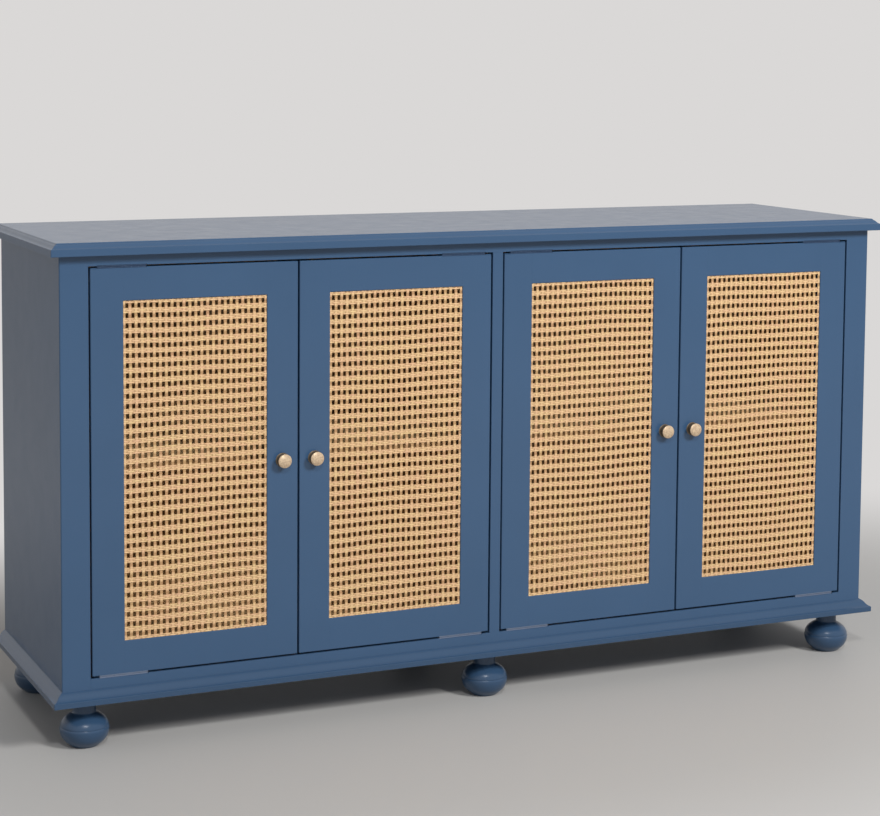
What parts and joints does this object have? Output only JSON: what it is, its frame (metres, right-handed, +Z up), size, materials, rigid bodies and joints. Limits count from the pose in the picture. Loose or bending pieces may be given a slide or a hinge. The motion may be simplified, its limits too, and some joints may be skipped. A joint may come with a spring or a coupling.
{
  "type": "record cabinet",
  "caption": "Low wide cabinet on turned bun feet, with cane-panelled hinged doors along its front, a shelf in each bay and moulded edges to its top and base boards.",
  "frame": {"origin": "on the floor, midway along the width and midway between the tips of the knobs and the back", "axes": "+X to the right along the front, +Y from the doors to the back, +Z up"},
  "size_m": [1.635, 0.442, 0.86],
  "materials": {
    "blue_lacquer": "satin blue lacquer on turned and moulded wood",
    "varnished_wood": "clear-varnished brown wood, unpainted, inside and at the back",
    "cane": "natural woven cane",
    "antique_brass": "antiqued, worn pale on the domed face",
    "catch_plastic": "moulded brown"
  },
  "bodies": {
    "carcass": {"back_panel": "varnished_wood", "base_board": "blue_lacquer", "centre_partition": "varnished_wood", "feet_front": "blue_lacquer", "feet_rear": "blue_lacquer", "floor_panel": "varnished_wood", "frame_bottom_rail": "blue_lacquer", "frame_stile_centre": "blue_lacquer", "frame_stile_left": "blue_lacquer", "frame_stile_right": "blue_lacquer", "frame_top_rail": "blue_lacquer", "magnetic_catches": "catch_plastic", "pivot_leaves_frame": "antique_brass", "shelf_battens": "varnished_wood", "shelf_left": "varnished_wood", "shelf_right": "varnished_wood", "side_left": "blue_lacquer", "side_right": "blue_lacquer", "top_board": "blue_lacquer"},
    "door_1": {"door_1_bottom_rail": "blue_lacquer", "door_1_cane_beads": "blue_lacquer", "door_1_cane_panel": "cane", "door_1_hinge_stile": "blue_lacquer", "door_1_knob_and_pivots": "antique_brass", "door_1_lock_stile": "blue_lacquer", "door_1_top_rail": "blue_lacquer"},
    "door_2": {"door_2_bottom_rail": "blue_lacquer", "door_2_cane_beads": "blue_lacquer", "door_2_cane_panel": "cane", "door_2_hinge_stile": "blue_lacquer", "door_2_knob_and_pivots": "antique_brass", "door_2_lock_stile": "blue_lacquer", "door_2_top_rail": "blue_lacquer"},
    "door_3": {"door_3_bottom_rail": "blue_lacquer", "door_3_cane_beads": "blue_lacquer", "door_3_cane_panel": "cane", "door_3_hinge_stile": "blue_lacquer", "door_3_knob_and_pivots": "antique_brass", "door_3_lock_stile": "blue_lacquer", "door_3_top_rail": "blue_lacquer"},
    "door_4": {"door_4_bottom_rail": "blue_lacquer", "door_4_cane_beads": "blue_lacquer", "door_4_cane_panel": "cane", "door_4_hinge_stile": "blue_lacquer", "door_4_knob_and_pivots": "antique_brass", "door_4_lock_stile": "blue_lacquer", "door_4_top_rail": "blue_lacquer"}
  },
  "joints": [
    {"name": "door_1_hinge", "type": "hinge", "parent": "carcass", "child": "door_1", "pos_m": [-0.72603, -0.192, 0.47185], "axis": [0, 0, -1], "range_deg": [0, 105]},
    {"name": "door_2_hinge", "type": "hinge", "parent": "carcass", "child": "door_2", "pos_m": [-0.03497, -0.192, 0.47185], "axis": [0, 0, 1], "range_deg": [0, 88]},
    {"name": "door_3_hinge", "type": "hinge", "parent": "carcass", "child": "door_3", "pos_m": [0.03497, -0.192, 0.47185], "axis": [0, 0, -1], "range_deg": [0, 88]},
    {"name": "door_4_hinge", "type": "hinge", "parent": "carcass", "child": "door_4", "pos_m": [0.72603, -0.192, 0.47185], "axis": [0, 0, 1], "range_deg": [0, 105]}
  ]
}
